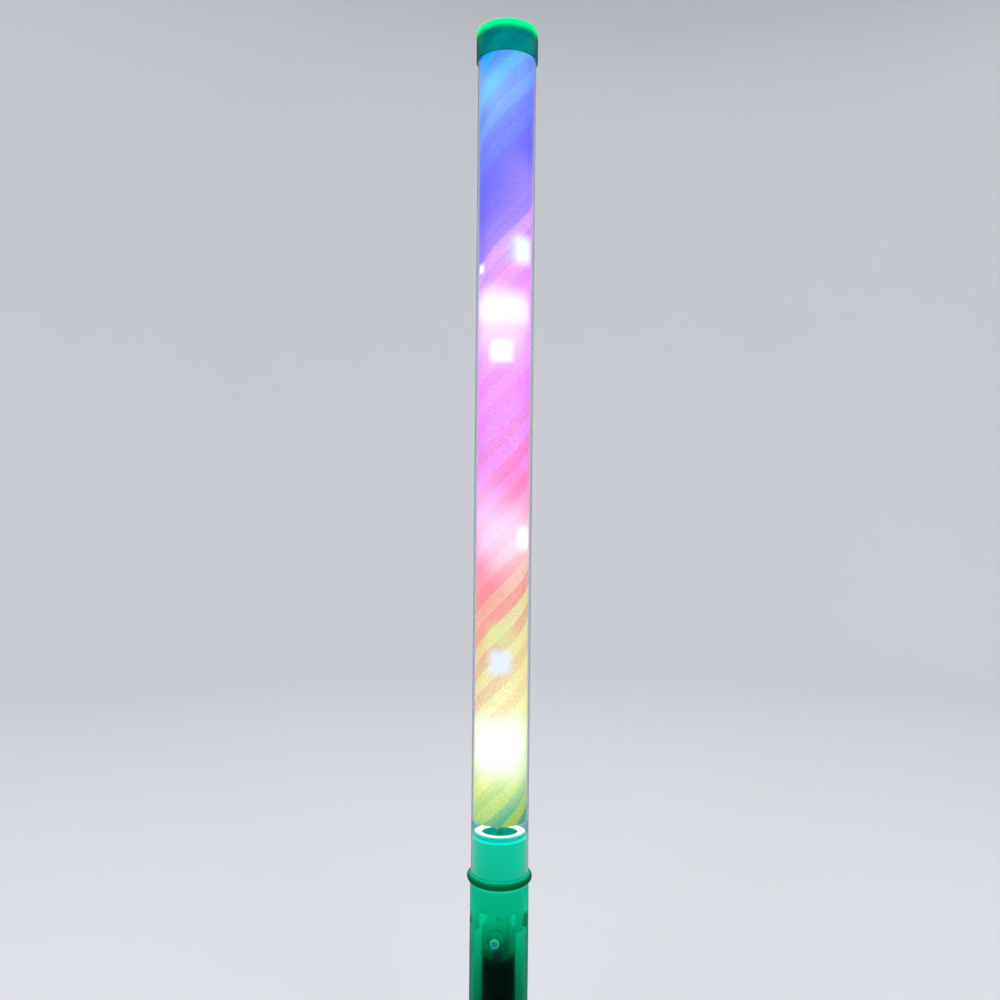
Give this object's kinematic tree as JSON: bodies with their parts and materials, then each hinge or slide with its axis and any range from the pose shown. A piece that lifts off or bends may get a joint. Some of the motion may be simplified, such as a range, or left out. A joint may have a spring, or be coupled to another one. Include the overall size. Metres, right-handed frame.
{
  "type": "light-up party wand",
  "caption": "Slim light-up wand: clear tube with a striped rainbow film and a lamp strip inside, push-on end cap, and a green handle with button, switch board and cells.",
  "frame": {"origin": "centre of the base plug's flat underside, on the wand's axis", "axes": "+Z along the wand from its base to the end cap, -Y towards the push button, +X to the right of the button"},
  "size_m": [0.025, 0.025, 0.4],
  "materials": {
    "clear_plastic": "clear, glossy extruded tube",
    "printed_film": "translucent film printed with diagonal rainbow stripes, lit from inside",
    "green_plastic": "translucent green moulding, satin to glossy",
    "button_plastic": "translucent grey-green moulding",
    "black_plastic": "matt black moulding and resin",
    "board_laminate": "green solder mask over glass laminate",
    "strip_white": "white flexible lamp strip with copper pads",
    "lamp_white": "white lamp body with a clear window, lit",
    "cell_steel": "bright rolled can",
    "contact_steel": "tinned spring steel",
    "red_sleeve": "red wire sleeve",
    "black_sleeve": "black wire sleeve"
  },
  "bodies": {
    "handle": {"grip_tube": "green_plastic", "neck_collar": "green_plastic", "battery_holder": "black_plastic", "button_cell_1": "cell_steel", "button_cell_2": "cell_steel", "button_cell_3": "cell_steel", "plus_contact": "contact_steel", "minus_strip": "contact_steel", "circuit_board": "board_laminate", "tact_switch": "black_plastic", "control_chip": "black_plastic", "limit_resistor": "black_plastic", "lamp_strip": "strip_white", "lamp_1": "lamp_white", "lamp_2": "lamp_white", "lamp_3": "lamp_white", "lamp_4": "lamp_white", "lamp_5": "lamp_white", "lamp_6": "lamp_white", "lamp_7": "lamp_white", "lead_wire_red": "red_sleeve", "lead_wire_black": "black_sleeve"},
    "button": {"push_button": "button_plastic", "switch_plunger": "black_plastic"},
    "plug": {"base_plug": "green_plastic", "base_contact": "contact_steel", "minus_spring": "contact_steel"},
    "tube": {"clear_tube": "clear_plastic", "rainbow_film": "printed_film"},
    "cap": {"end_cap": "green_plastic"}
  },
  "joints": [
    {"name": "button_press", "type": "slide", "parent": "handle", "child": "button", "axis": [0, 1, 0], "range_m": [0, 0.0005], "stiffness_N_per_m": 3000},
    {"name": "plug_pull", "type": "slide", "parent": "handle", "child": "plug", "axis": [0, 0, -1], "range_m": [0, 0.032]},
    {"name": "tube_pull", "type": "slide", "parent": "handle", "child": "tube", "axis": [0, 0, 1], "range_m": [0, 0.3]},
    {"name": "cap_pull", "type": "slide", "parent": "tube", "child": "cap", "axis": [0, 0, 1], "range_m": [0, 0.016]}
  ]
}
